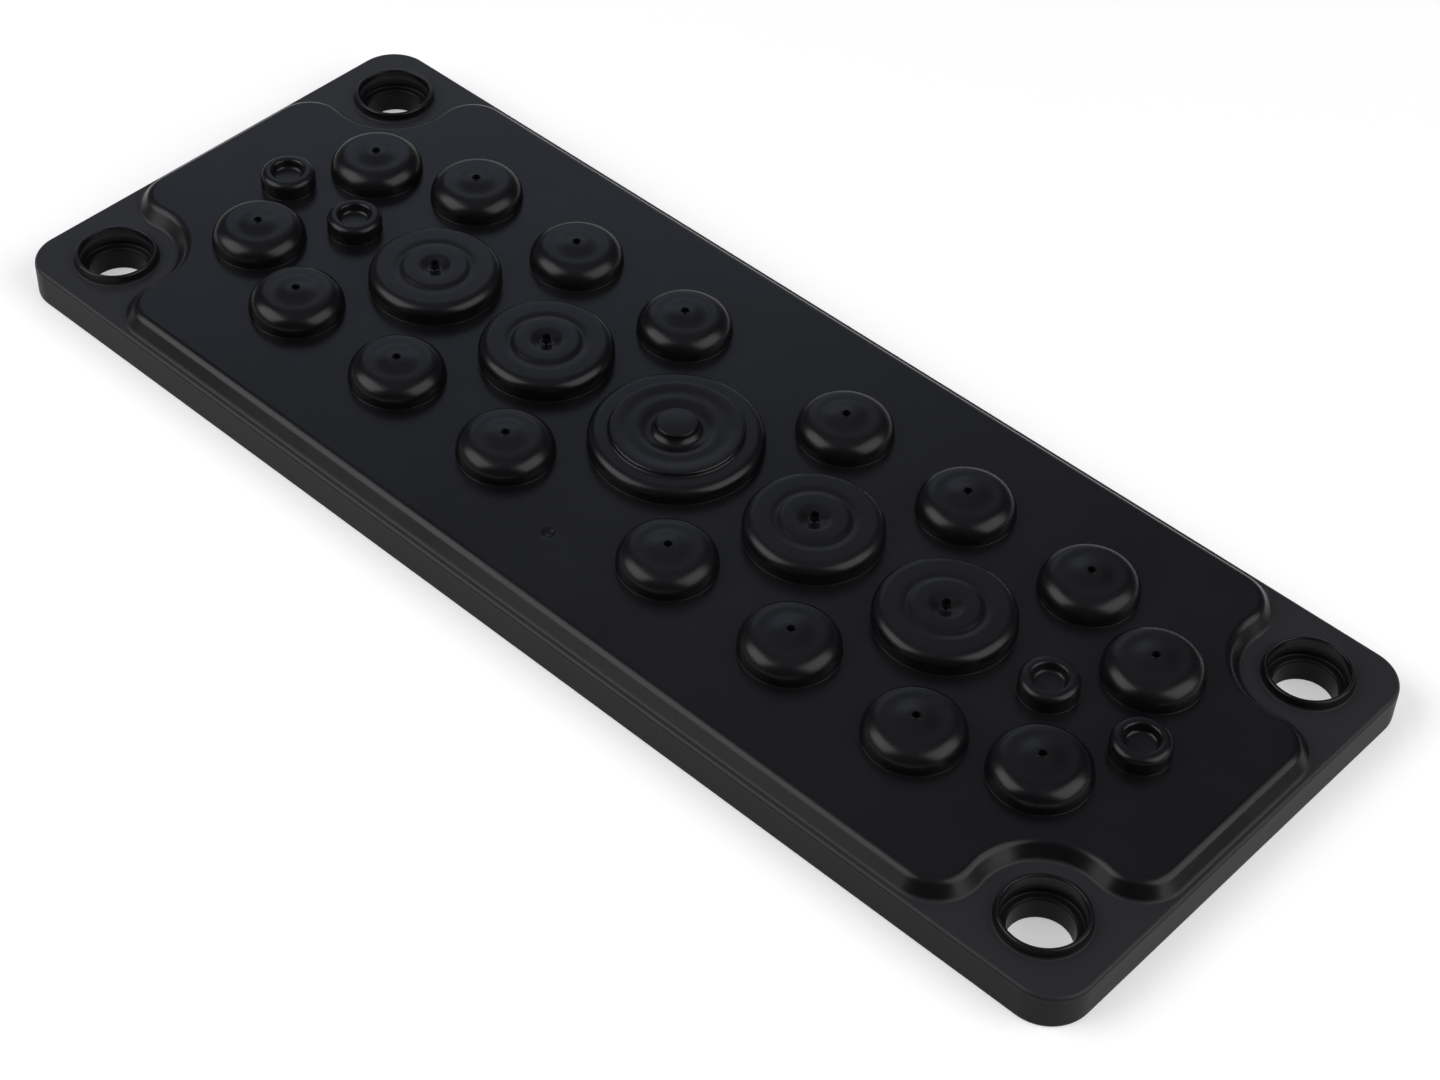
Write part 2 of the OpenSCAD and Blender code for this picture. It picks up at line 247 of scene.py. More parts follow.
class RubberFinish(PropertyGroup):
    """Colour and surface of the moulded rubber."""

    colour: paint("Colour", "Colour of the rubber", (0.0030, 0.0030, 0.0035))
    bloom: paint("Bloom", "Colour of the faint bloom on the rubber", (0.0046, 0.0046, 0.0052))
    matt: paint("Matt", "Colour of the matt flange", (0.0165, 0.0167, 0.0178))
    shine: share("Shine", "Strength of the rubber's mirror-like part", 0.225)
    skirt_shine: share("Skirt shine", "Strength of that part on the skirt and sole", 0.12)
    smooth: share("Smooth", "Roughness of the smoothest patches", 0.24)
    dull: share("Dull", "Roughness of the dullest patches", 0.32)
    flange_dull: share("Flange", "Roughness of the flange and skirt", 0.45)
    grain: length("Grain", "Size of the fine moulded grain", 0.16)
    ripple: length("Ripple", "Size of the slow unevenness of the skin", 7)


class StudioLook(PropertyGroup):
    """Floor, lamps and camera."""

    floor: paint("Floor", "Colour of the floor", (0.8, 0.79, 0.77))
    left_power: power("Left lamp", "Power of the lamp on the left", 4.6)
    right_power: power("Right lamp", "Power of the lamp on the right", 4.4)
    back_power: power("Back lamp", "Power of the lamp behind the plate", 0.21)
    lens: FloatProperty(
        name="Lens", description="Focal length of the camera in millimetres",
        default=75.3155, unit="CAMERA", min=1,
    )


# Building blocks of the mesh work, all in millimetres

# Steps along a turned form's rounding: a few for any, and more for each millimetre of it
ROUND_STEPS = 3
ROUND_STEPS_PER_MM = 4


def straight(bm, vert, point):
    """Draws a straight edge from a vertex to a point and returns its end."""
    end = bmesh.ops.extrude_vert_indiv(bm, verts=[vert])["verts"][0]
    end.co = point
    return end


def curve(bm, vert, centre, angle, steps):
    """Draws an arc from a vertex about an upright axis and returns its end."""
    spun = bmesh.ops.spin(bm, geom=[vert], cent=centre, axis=UP, angle=angle, steps=steps)
    return next(item for item in spun["geom_last"] if isinstance(item, bmesh.types.BMVert))


def mirrored_face(bm):
    """Mirrors a quarter outline to all four quarters and fills it with one face."""
    for axis in "XY":
        bmesh.ops.mirror(
            bm, geom=bm.verts[:] + bm.edges[:], matrix=Matrix(), merge_dist=WELD, axis=axis,
        )
    bmesh.ops.remove_doubles(bm, verts=bm.verts[:], dist=WELD)
    return bmesh.ops.edgeloop_fill(bm, edges=bm.edges[:])["faces"][0]


def bend(radius, start, end, count):
    """Steps inward and upward along an arc whose heading turns from one angle to another."""
    steps = []
    for i in range(count):
        a = start + (end - start) * i / count
        b = start + (end - start) * (i + 1) / count
        steps.append((radius * abs(sin(b) - sin(a)), radius * abs(cos(a) - cos(b))))
    return steps


def climb(bm, face, steps):
    """Insets and lifts a face step by step, which leaves a skin behind it, then takes it away."""
    for inset, rise in steps:
        if inset > WELD:
            bmesh.ops.inset_region(
                bm, faces=[face], thickness=inset, use_boundary=True, use_even_offset=True,
            )
        else:
            lifted = bmesh.ops.extrude_face_region(bm, geom=[face])["geom"]
            bmesh.ops.delete(bm, geom=[face], context="FACES_ONLY")
            face = next(item for item in lifted if isinstance(item, bmesh.types.BMFace))
        bmesh.ops.translate(bm, verts=face.verts[:], vec=UP * rise)
    bmesh.ops.delete(bm, geom=[face], context="FACES_ONLY")


def turned(rows, segments):
    """Spins a half section about the upright axis, from rows of radius, height and rounding."""
    bm = bmesh.new()
    vert = bm.verts.new((rows[0][0], 0, rows[0][1]))
    corners = []
    for radius, height, rounding in rows[1:]:
        vert = straight(bm, vert, (radius, 0, height))
        corners.append((vert, rounding))
    for vert, rounding in corners:
        if rounding:
            bmesh.ops.bevel(
                bm, geom=[vert], offset=rounding, offset_type="OFFSET", affect="VERTICES",
                segments=ROUND_STEPS + round(ROUND_STEPS_PER_MM * rounding),
                profile=0.5, material=-1,
            )
    bmesh.ops.spin(
        bm, geom=bm.verts[:] + bm.edges[:], cent=MIDDLE, axis=UP,
        angle=2 * pi, steps=segments, use_merge=True,
    )
    bmesh.ops.remove_doubles(bm, verts=bm.verts[:], dist=WELD)
    return bm


def put(bm, piece, places):
    """Copies a small mesh into the main one at each place, then frees it."""
    mesh = bpy.data.meshes.new("bench")
    piece.to_mesh(mesh)
    piece.free()
    for place in places:
        before = set(bm.verts)
        bm.from_mesh(mesh)
        bmesh.ops.translate(bm, verts=[v for v in bm.verts if v not in before], vec=place)
    bpy.data.meshes.remove(mesh)


def lies_at(item, height):
    """Whether an edge or a face lies flat at a height."""
    return all(abs(v.co.z - height) < WELD for v in item.verts)


def fill_level(bm, height):
    """Closes the flat between all open edges at one height."""
    edges = [e for e in bm.edges if len(e.link_faces) < 2 and lies_at(e, height)]
    bmesh.ops.triangle_fill(bm, use_beauty=True, use_dissolve=False, edges=edges, normal=UP)


def mirror_places(points):
    """Every mirror image of the points in the plate's quarters, each once."""
    found = []
    for x, y in points:
        for place in ((x, y), (-x, y), (x, -y), (-x, -y)):
            if Vector((*place, 0)) not in found:
                found.append(Vector((*place, 0)))
    return found


# The moulding: forms that come from the sizes

# Steps along the roundings of the flange, the field and the underside
CORNER_STEPS = 16
EDGE_STEPS = 6
SOLE_STEPS = 4
TURN_STEPS = 14
SCALLOP_STEPS = 24
COVE_STEPS = 5
BROW_STEPS = 10
BOSS_STEPS = 28
BOSS_CORNER_STEPS = 5
TRAY_STEPS = 4
# Segments round a screw hole and round the gate mark
HOLE_SEGMENTS = 64
GATE_SEGMENTS = 24
# Flat rings left round the lip, the hole's lower edge and the gate mark, which join them to the flats
LIP_LANDING = 0.2
HOLE_LANDING = 0.5
GATE_LANDING = 0.3
# Half the width of a square of one unit
HALF_UNIT = 0.5


def field_face(bm, s, out):
    """Outline of the raised field, moved outward by a distance, as one face on the flange."""
    hole = Vector((s.hole_dx / 2, s.hole_dy / 2, s.flange_h))
    brow = Vector((s.plate_l / 2 - s.field_gap, s.plate_w / 2 - s.field_gap, s.flange_h))
    reach = s.scallop_r + s.turn_r
    inner = brow - Vector((s.turn_r, s.turn_r, 0))
    long_x = hole.x - sqrt(reach ** 2 - (inner.y - hole.y) ** 2)
    long_turn = Vector((long_x, inner.y, s.flange_h))
    short_y = hole.y - sqrt(reach ** 2 - (inner.x - hole.x) ** 2)
    short_turn = Vector((inner.x, short_y, s.flange_h))
    first = atan2(hole.y - short_turn.y, hole.x - short_turn.x)
    last = pi / 2 - atan2(hole.y - long_turn.y, hole.x - long_turn.x)
    vert = bm.verts.new((brow.x + out, 0, s.flange_h))
    vert = straight(bm, vert, (brow.x + out, short_turn.y, s.flange_h))
    vert = curve(bm, vert, short_turn, first, TURN_STEPS)
    vert = curve(bm, vert, hole, pi / 2 - first - last, SCALLOP_STEPS)
    vert = curve(bm, vert, long_turn, last, TURN_STEPS)
    straight(bm, vert, (0, brow.y + out, s.flange_h))
    return mirrored_face(bm)


def field_skin(s):
    """Coved, sloped and rounded edge of the raised field."""
    bm = bmesh.new()
    lean = atan2(s.field_h, s.slope_w)
    cove = s.cove_r * tan(lean / 2)
    brow = s.brow_r * tan(lean / 2)
    run = hypot(s.field_h, s.slope_w) - cove - brow
    face = field_face(bm, s, s.slope_w + cove)
    climb(bm, face, [
        *bend(s.cove_r, 0, lean, COVE_STEPS),
        (run * cos(lean), run * sin(lean)),
        *bend(s.brow_r, lean, 0, BROW_STEPS),
    ])
    return bm


def flange_wall(s):
    """Upright wall of the flange with its two rounded edges, open above and below."""
    bm = bmesh.new()
    bmesh.ops.create_grid(bm, x_segments=1, y_segments=1, size=HALF_UNIT)
    bmesh.ops.scale(bm, vec=(s.plate_l, s.plate_w, 1), verts=bm.verts[:])
    bmesh.ops.bevel(
        bm, geom=bm.verts[:], offset=s.corner_r, offset_type="OFFSET", affect="VERTICES",
        segments=CORNER_STEPS, profile=0.5, material=-1,
    )
    lifted = bmesh.ops.extrude_face_region(bm, geom=bm.faces[:], use_keep_orig=True)["geom"]
    raised = [item for item in lifted if isinstance(item, bmesh.types.BMVert)]
    bmesh.ops.translate(bm, verts=raised, vec=UP * s.flange_h)
    for height, radius, count in ((s.flange_h, s.edge_r, EDGE_STEPS), (0, s.sole_r, SOLE_STEPS)):
        edges = [e for e in bm.edges if lies_at(e, height)]
        bmesh.ops.bevel(
            bm, geom=edges, offset=radius, offset_type="OFFSET", affect="EDGES",
            segments=count, profile=0.5, material=-1,
        )
    caps = [f for f in bm.faces if lies_at(f, s.flange_h) or lies_at(f, 0)]
    bmesh.ops.delete(bm, geom=caps, context="FACES_ONLY")
    return bm


def screw_hole(s):
    """Soft lip, seat and through hole, as one turned skin."""
    seat = s.seat_d / 2
    hole = s.hole_d / 2
    lip = seat + s.lip_w
    crest = seat + s.lip_crest
    lip_top = s.flange_h + s.lip_h
    floor = lip_top - s.seat_depth
    return turned([
        (lip + s.lip_flare + LIP_LANDING, s.flange_h, 0),
        (lip, s.flange_h, s.lip_flare),
        (crest, lip_top, s.lip_r),
        (seat, lip_top, s.lip_r),
        (seat, floor, s.seat_r),
        (hole, floor, s.ledge_r),
        (hole, 0, s.hole_r),
        (hole + HOLE_LANDING, 0, 0),
    ], HOLE_SEGMENTS)


def tray_skin(s):
    """Walls of the open underside, from its rounded mouth to its ceiling."""
    bm = bmesh.new()
    mouth = s.tray_mouth_r
    cove = s.tray_cove_r
    boss = s.scallop_r + s.boss_wall - mouth
    hole = Vector((s.hole_dx / 2, s.hole_dy / 2, 0))
    wall = Vector((s.plate_l / 2 - s.rim_w + mouth, s.plate_w / 2 - s.rim_w + mouth, 0))
    end_y = hole.y - sqrt(boss ** 2 - (wall.x - hole.x) ** 2)
    side_x = hole.x - sqrt(boss ** 2 - (wall.y - hole.y) ** 2)
    start = atan2(end_y - hole.y, wall.x - hole.x)
    end = atan2(wall.y - hole.y, side_x - hole.x) - 2 * pi
    vert = bm.verts.new((wall.x, 0, 0))
    corner = straight(bm, vert, (wall.x, end_y, 0))
    other = curve(bm, corner, hole, end - start, BOSS_STEPS)
    straight(bm, other, (0, wall.y, 0))
    bmesh.ops.bevel(
        bm, geom=[corner, other], offset=s.boss_corner_r, offset_type="OFFSET",
        affect="VERTICES", segments=BOSS_CORNER_STEPS, profile=0.5, material=-1,
    )
    face = mirrored_face(bm)
    climb(bm, face, [
        *bend(mouth, 0, pi / 2, TRAY_STEPS),
        (0, s.tray_depth - mouth - cove),
        *bend(cove, pi / 2, 0, TRAY_STEPS),
    ])
    return bm


def gate_mark(s):
    """Shallow round mark left by the moulding gate, below the level that it is put at."""
    return turned([
        (s.gate_d / 2 + GATE_LANDING, 0, 0),
        (s.gate_d / 2, 0, s.gate_edge_r),
        (s.gate_floor_d / 2, -s.gate_depth, s.gate_floor_r),
        (0, -s.gate_depth, 0),
    ], GATE_SEGMENTS)


# The membranes: each family gives its places, the rows of its top and the height of its lowest part

# How far a membrane's foot spreads, and its rounding
FOOT_REACH = 0.15
FOOT_ROUND = 0.06
# Piercing mark: radius of its rim's foot, of its mouth and of its floor, its depth and its rounding
PIN_FOOT = 0.55
PIN_MOUTH = 0.5
PIN_FLOOR = 0.4
PIN_DEPTH = 0.9
PIN_ROUND = 0.03
# Share of a shoulder's radius by which the hollow under it stays clear of the shoulder
CLEAR = 0.3
# Rounding round the ceiling of a hollow
HOLLOW_ROUND = 0.4


def pin_rows(height):
    """The piercing mark at the middle of a membrane."""
    return [
        (PIN_MOUTH, height, PIN_ROUND),
        (PIN_FLOOR, height - PIN_DEPTH, PIN_ROUND),
        (0, height - PIN_DEPTH, 0),
    ]


def medium_form(m):
    """Domed membranes with a broad nib and a piercing mark."""
    points = [
        (m.row_x1, m.row_y),
        (m.row_x2, m.row_y),
        (m.row_x3, m.row_y),
        (m.end_x, m.end_y),
    ]
    top = [
        (m.nib_d / 2, m.height, m.nib_r),
        (m.crown_d / 2, m.crown_h, m.crown_r),
        (PIN_FOOT, m.crown_h, m.mark_r),
        *pin_rows(m.tip_h),
    ]
    return points, top, m.height


def large_form(g):
    """Membranes with a groove, an inner ring, a pit and a piercing mark."""
    points = [(g.inner_x, 0), (g.outer_x, 0)]
    top = [
        (g.groove_d / 2, g.height, g.groove_r),
        (g.ring_d / 2, g.groove_h, g.ring_r),
        (g.crest_d / 2, g.ring_h, g.crest_r),
        (g.mouth_d / 2, g.ring_h, g.mouth_r),
        (g.pit_d / 2, g.pit_h, g.pit_r),
        (PIN_FOOT, g.pit_h, g.mark_r),
        *pin_rows(g.tip_h),
    ]
    return points, top, g.pit_h


def centre_form(c):
    """The middle membrane with a step, a groove, a ring, a pit and a stud."""
    points = [(0, 0)]
    top = [
        (c.step_d / 2 + c.step_lean, c.height, c.step_foot_r),
        (c.step_d / 2, c.step_h, c.step_r),
        (c.groove_d / 2, c.step_h, c.groove_r),
        (c.groove_d / 2 - c.groove_w, c.groove_h, c.groove_floor_r),
        ((c.groove_d + c.ring_d) / 4, c.groove_h, c.groove_floor_r),
        (c.ring_d / 2, c.ring_h, c.ring_r),
        (c.pit_d / 2, c.pit_h, c.pit_r),
        (c.stud_d / 2 + c.flare_w, c.pit_h, c.flare_r),
        (c.stud_d / 2 + c.stud_lean, c.pit_h + c.flare_h, c.flare_r),
        (c.stud_d / 2, c.stud_h, c.stud_r),
        (0, c.stud_h, 0),
    ]
    return points, top, min(c.height, c.pit_h)


def small_form(n):
    """Small membranes with a cup in the top."""
    points = [(n.inner_x, 0), (n.outer_x, 0)]
    floor = n.height - n.cup
    top = [
        (n.cup_d / 2, n.height, n.cup_edge_r),
        (n.cup_d / 2 - n.cup_lean, floor, n.cup_floor_r),
        (0, floor, 0),
    ]
    return points, top, floor


# Each family's form, and the segments round it
FORMS = {"medium": medium_form, "large": large_form, "centre": centre_form, "small": small_form}
SEGMENTS = {"medium": 64, "large": 64, "centre": 96, "small": 48}


def membrane_family(scene, family):
    """One kind of membrane: its places, the rows of its outside, its hollow and its segments."""
    kind = millimetres(getattr(scene, family + "_sizes"))
    skin = scene.plate_sizes.skin_t / MM
    wall = kind.wall_d / 2
    points, top, lowest = FORMS[family](kind)
    return SimpleNamespace(
        places=mirror_places(points),
        rows=[
            (wall + FOOT_REACH, 0, 0),
            (wall, 0, FOOT_ROUND),
            (wall, kind.height, kind.shoulder),
            *top,
        ],
        foot=wall + FOOT_REACH,
        hollow=wall - skin - kind.shoulder * CLEAR,
        ceiling=lowest - skin,
        segments=SEGMENTS[family],
    )


def open_plate():
    """The plate's mesh on the bench, in millimetres."""
    bm = bmesh.new()
    bm.from_mesh(bpy.data.objects[PLATE_NAME].data)
    bmesh.ops.scale(bm, vec=(1 / MM,) * 3, verts=bm.verts[:])
    return bm


def keep_plate(bm):
    """Welds the bench mesh, turns its faces outward and writes it to the plate in metres."""
    bmesh.ops.remove_doubles(bm, verts=bm.verts[:], dist=WELD)
    bmesh.ops.recalc_face_normals(bm, faces=bm.faces[:])
    for face in bm.faces:
        face.smooth = True
    for edge in bm.edges:
        edge.smooth = edge.calc_face_angle(0) < CRISP
    bmesh.ops.scale(bm, vec=(MM,) * 3, verts=bm.verts[:])
    bm.to_mesh(bpy.data.objects[PLATE_NAME].data)
    bm.free()


def open_membranes(bm, scene, s):
    """Leaves a ring in the field and in the tray's ceiling for every membrane."""
    top = s.flange_h + s.field_h
    for family in FORMS:
        kind = membrane_family(scene, family)
        for radius, height in ((kind.foot, top), (kind.hollow, s.tray_depth)):
            ring = bmesh.new()
            bmesh.ops.create_circle(ring, segments=kind.segments, radius=radius)
            put(bm, ring, [place + UP * height for place in kind.places])


def add_membranes(scene, family):
    """Closes every opening of one family with its membrane and the hollow under it."""
    s = millimetres(scene.plate_sizes)
    kind = membrane_family(scene, family)
    top = s.flange_h + s.field_h
    bm = open_plate()
    put(bm, turned(kind.rows, kind.segments), [place + UP * top for place in kind.places])
    hollow = turned([
        (kind.hollow, s.tray_depth, 0),
        (kind.hollow, top + kind.ceiling, HOLLOW_ROUND),
        (0, top + kind.ceiling, 0),
    ], kind.segments)
    put(bm, hollow, kind.places)
    keep_plate(bm)


def mark_skirt(bm, s):
    """Gives the skirt and sole, up to the flange's rounded edge, the second rubber."""
    skirt_top = s.flange_h - s.edge_r + WELD
    for face in bm.faces:
        face.material_index = int(max(v.co.z for v in face.verts) < skirt_top)


# Finish of the rubber

# Sockets of a Mix node by what it mixes: its two inputs and its output
MIX_SOCKETS = {"RGBA": (6, 7, 2), "FLOAT": (2, 3, 0)}
# Noise of the fine grain, the slow ripple and the patches of bloom
GRAIN_NOISE = {"Detail": 3.0, "Roughness": 0.6}
RIPPLE_NOISE = {"Detail": 2.0, "Roughness": 0.4}
CLOUD_NOISE = {"Detail": 5.0, "Roughness": 0.6}
# Patches of bloom to a metre, and the spans of their noise that give the bloom and the gloss
CLOUD_SCALE = 55.0
BLOOM_SPAN = (0.38, 0.68)
GLOSS_SPAN = (0.3, 0.7)
# Depth and strength of the ripple and the grain
RIPPLE_BUMP = {"Distance": 0.00012, "Strength": 0.2}
GRAIN_BUMP = {"Distance": 0.000012, "Strength": 0.25}
# Heights from the flange's top between which its matt skin gives way to the rest
MATT_SPAN = (0.15 * MM, 0.4 * MM)
# What the moulded skin takes and gives
SKIN_TAKES = {
    "Place": "NodeSocketVector",
    "Flange Top": "NodeSocketFloat",
    "Colour": "NodeSocketColor",
    "Bloom": "NodeSocketColor",
    "Matt": "NodeSocketColor",
    "Smooth": "NodeSocketFloat",
    "Dull": "NodeSocketFloat",
    "Flange Dull": "NodeSocketFloat",
    "Grain Scale": "NodeSocketFloat",
    "Ripple Scale": "NodeSocketFloat",
    "Cloud Scale": "NodeSocketFloat",
}
SKIN_GIVES = {
    "Colour": "NodeSocketColor",
    "Roughness": "NodeSocketFloat",
    "Normal": "NodeSocketVector",
}


def feed(tree, socket, value):
    """Links another node's output to an input, or sets a plain value there."""
    if isinstance(value, bpy.types.NodeSocket):
        tree.links.new(value, socket)
    else:
        socket.default_value = value


def node(tree, kind, **values):
    """Adds a shader node, and sets its attributes or feeds its inputs by name."""
    made = tree.nodes.new(kind)
    for key, value in values.items():
        if hasattr(made, key):
            setattr(made, key, value)
        else:
            feed(tree, made.inputs[key.replace("_", " ")], value)
    return made


def mixed(tree, kind, factor, first, second):
    """Mixes two colours or two values by a factor."""
    made = node(tree, "ShaderNodeMix", data_type=kind, Factor=factor)
    first_at, second_at, result_at = MIX_SOCKETS[kind]
    feed(tree, made.inputs[first_at], first)
    feed(tree, made.inputs[second_at], second)
    return made.outputs[result_at]


def worked(tree, operation, *values):
    """Works out one or two values."""
    made = node(tree, "ShaderNodeMath", operation=operation)
    for socket, value in zip(made.inputs, values):
        feed(tree, socket, value)
    return made.outputs["Value"]


def spread(tree, value, span, **ends):
    """Spreads a span of a value from nought to one, or between other ends."""
    low, high = span
    made = node(tree, "ShaderNodeMapRange", Value=value, From_Min=low, From_Max=high, **ends)
    return made.outputs["Result"]


def noise(tree, place, scale, look):
    """Noise of one scale, read at the place on the plate."""
    return node(tree, "ShaderNodeTexNoise", Vector=place, Scale=scale, **look).outputs["Fac"]


def blank_tree(holder):
    """The empty node tree of a material or a world."""
    holder.use_nodes = True
    holder.node_tree.nodes.clear()
    return holder.node_tree


def skin_group():
    """Moulded skin: a faint bloom, a matt flange, and a fine grain over a slow ripple."""
    tree = bpy.data.node_groups.new("moulded_skin", "ShaderNodeTree")
    for name, kind in SKIN_TAKES.items():
        tree.interface.new_socket(name, in_out="INPUT", socket_type=kind)
    for name, kind in SKIN_GIVES.items():
        tree.interface.new_socket(name, in_out="OUTPUT", socket_type=kind)
    takes = node(tree, "NodeGroupInput").outputs
    place = takes["Place"]

    cloud = noise(tree, place, takes["Cloud Scale"], CLOUD_NOISE)
    bloom = spread(tree, cloud, BLOOM_SPAN)
    rubber = mixed(tree, "RGBA", bloom, takes["Colour"], takes["Bloom"])
    gloss = mixed(tree, "FLOAT", spread(tree, cloud, GLOSS_SPAN), takes["Smooth"], takes["Dull"])

    height = node(tree, "ShaderNodeSeparateXYZ", Vector=place).outputs["Z"]
    lift = worked(tree, "SUBTRACT", height, takes["Flange Top"])
    raised = spread(tree, lift, MATT_SPAN)
    clear = spread(tree, worked(tree, "ABSOLUTE", lift), MATT_SPAN)

    ripple = noise(tree, place, takes["Ripple Scale"], RIPPLE_NOISE)
    slow = node(tree, "ShaderNodeBump", Height=ripple, **RIPPLE_BUMP).outputs["Normal"]
    grain = noise(tree, place, takes["Grain Scale"], GRAIN_NOISE)
    fine = node(tree, "ShaderNodeBump", Height=grain, Normal=slow, **GRAIN_BUMP).outputs["Normal"]

    node(
        tree, "NodeGroupOutput",
        Colour=mixed(tree, "RGBA", clear, takes["Matt"], rubber),
        Roughness=mixed(tree, "FLOAT", raised, takes["Flange Dull"], gloss),
        Normal=fine,
    )
    return tree


def rubber_material(name, shine, skin, finish, flange_top):
    """Black rubber: the moulded skin with its own shine."""
    material = bpy.data.materials.new(name)
    tree = blank_tree(material)
    rubber = node(
        tree, "ShaderNodeGroup", node_tree=skin,
        Place=node(tree, "ShaderNodeTexCoord").outputs["Object"],
        Flange_Top=flange_top,
        Colour=(*finish.colour, 1), Bloom=(*finish.bloom, 1), Matt=(*finish.matt, 1),
        Smooth=finish.smooth, Dull=finish.dull, Flange_Dull=finish.flange_dull,
        Grain_Scale=1 / finish.grain, Ripple_Scale=1 / finish.ripple, Cloud_Scale=CLOUD_SCALE,
    ).outputs
    shader = node(
        tree, "ShaderNodeBsdfPrincipled", Specular_IOR_Level=shine,
        Base_Color=rubber["Colour"], Roughness=rubber["Roughness"], Normal=rubber["Normal"],
    )
    node(tree, "ShaderNodeOutputMaterial", Surface=shader.outputs["BSDF"])
    return material


# Studio

# Camera: place in metres, and the directions of the picture's right side and of its top
CAMERA_AT = Vector((0.182436, -0.200875, 0.262593))
CAMERA_RIGHT = Vector((0.732542, 0.679937, 0.032661))
CAMERA_TOP = Vector((-0.499122, 0.503874, 0.704974))
# Camera: width of its sensor in millimetres, and the nearest thing it sees in metres
SENSOR = 36
NEAREST = 0.01
# Floor: how far it reaches from the plate in metres, and how much it glows to the camera
FLOOR_REACH = 3
FLOOR_GLOW = 0.33
# Room: heights and colours of the pale horizon, the dim band above it and the part overhead
HORIZON_AT = 0.08
HORIZON = (0.55, 0.58, 0.64, 1)
BAND_AT = 0.28
BAND = (0.18, 0.188, 0.206, 1)
OVERHEAD_AT = 0.6
OVERHEAD = (0.335, 0.34, 0.4, 1)
# Room: spans over which it darkens towards the camera's side and to the left and right, and how far
FRONT_SPAN = (0.3, 0.8)
FRONT_DIM = {"To_Min": 1.0, "To_Max": 0.2}
SIDE_SPAN = (0.2, 0.5)
SIDE_DIM = {"To_Min": 1.0, "To_Max": 0.25}
# Lamps: bearing and elevation in degrees, then distance, width and height in metres, and colour
WHITE = (1, 1, 1)
LEFT_LAMP = SimpleNamespace(
    bearing=-130, elevation=41, distance=0.8, wide=0.7, tall=0.61, colour=WHITE,
)
RIGHT_LAMP = SimpleNamespace(
    bearing=20, elevation=37, distance=0.8, wide=0.78, tall=0.68, colour=WHITE,
)
BACK_LAMP = SimpleNamespace(
    bearing=140, elevation=33, distance=0.9, wide=0.5, tall=0.25, colour=(0.84, 0.97, 1.25),
)


def floor_material(look):
    """Pale floor that keeps the plate's shadow, and shows white to the camera and in reflections."""
    material = bpy.data.materials.new("studio_floor")
    tree = blank_tree(material)
    rays = node(tree, "ShaderNodeLightPath").outputs
    seen = worked(tree, "MAXIMUM", rays["Is Camera Ray"], rays["Is Glossy Ray"])
    shown = worked(tree, "MAXIMUM", seen, rays["Is Transmission Ray"])
    glow = node(tree, "ShaderNodeEmission", Strength=worked(tree, "MULTIPLY", shown, FLOOR_GLOW))
    pale = node(tree, "ShaderNodeBsdfDiffuse", Color=(*look.floor, 1))
    both = node(tree, "ShaderNodeAddShader")
    for socket, part in zip(both.inputs, (pale, glow)):
        feed(tree, socket, part.outputs[0])
    node(tree, "ShaderNodeOutputMaterial", Surface=both.outputs["Shader"])
    return material


def facing(tree, way, heading):
    """How nearly a direction in the room points along a level heading."""
    made = node(tree, "ShaderNodeVectorMath", operation="DOT_PRODUCT")
    level = Vector((heading.x, heading.y, 0)).normalized()
    for socket, value in zip(made.inputs, (way, level)):
        feed(tree, socket, value)
    return made.outputs["Value"]


def studio_world():
    """Room that is pale at the horizon and dim above it, at the sides and behind the camera."""
    world = bpy.data.worlds.new("studio_room")
    tree = blank_tree(world)
    way = node(tree, "ShaderNodeTexCoord").outputs["Generated"]
    height = node(tree, "ShaderNodeSeparateXYZ", Vector=way).outputs["Z"]
    ramp = node(tree, "ShaderNodeValToRGB", Fac=height)
    low, high = ramp.color_ramp.elements
    low.position = HORIZON_AT
    low.color = HORIZON
    high.position = OVERHEAD_AT
    high.color = OVERHEAD
    ramp.color_ramp.elements.new(BAND_AT).color = BAND
    front = spread(tree, facing(tree, way, CAMERA_AT), FRONT_SPAN, **FRONT_DIM)
    aside = worked(tree, "ABSOLUTE", facing(tree, way, CAMERA_RIGHT))
    sides = spread(tree, aside, SIDE_SPAN, **SIDE_DIM)
    sky = node(
        tree, "ShaderNodeBackground",
        Color=ramp.outputs["Color"], Strength=worked(tree, "MULTIPLY", front, sides),
    )
    node(tree, "ShaderNodeOutputWorld", Surface=sky.outputs["Background"])
    return world


def round_plate(bearing, elevation, distance):
    """A place at a distance from the plate, by its bearing and its elevation in degrees."""
    level = distance * cos(radians(elevation))
    return Vector((
        level * cos(radians(bearing)),
        level * sin(radians(bearing)),
        distance * sin(radians(elevation)),
    ))


def side_lamp(name, form, watts):
    """A rectangular lamp that looks at the plate."""
    data = bpy.data.lights.new(name, "AREA")
    data.shape = "RECTANGLE"
    data.size = form.wide
    data.size_y = form.tall
    data.energy = watts
    data.color = form.colour
    lamp = bpy.data.objects.new(name, data)
    lamp.location = round_plate(form.bearing, form.elevation, form.distance)
    lamp.rotation_euler = (-lamp.location).to_track_quat("-Z", "Y").to_euler()
    bpy.context.scene.collection.objects.link(lamp)


def lay_floor(scene, look):
    """Lays the floor under the plate, as part of the stage."""
    bm = bmesh.new()
    bmesh.ops.create_grid(bm, x_segments=1, y_segments=1, size=FLOOR_REACH)
    floor = bpy.data.objects.new("floor", bpy.data.meshes.new("floor"))
    bm.to_mesh(floor.data)
    bm.free()
    floor.data.materials.append(floor_material(look))
    scene.collection.objects.link(floor)


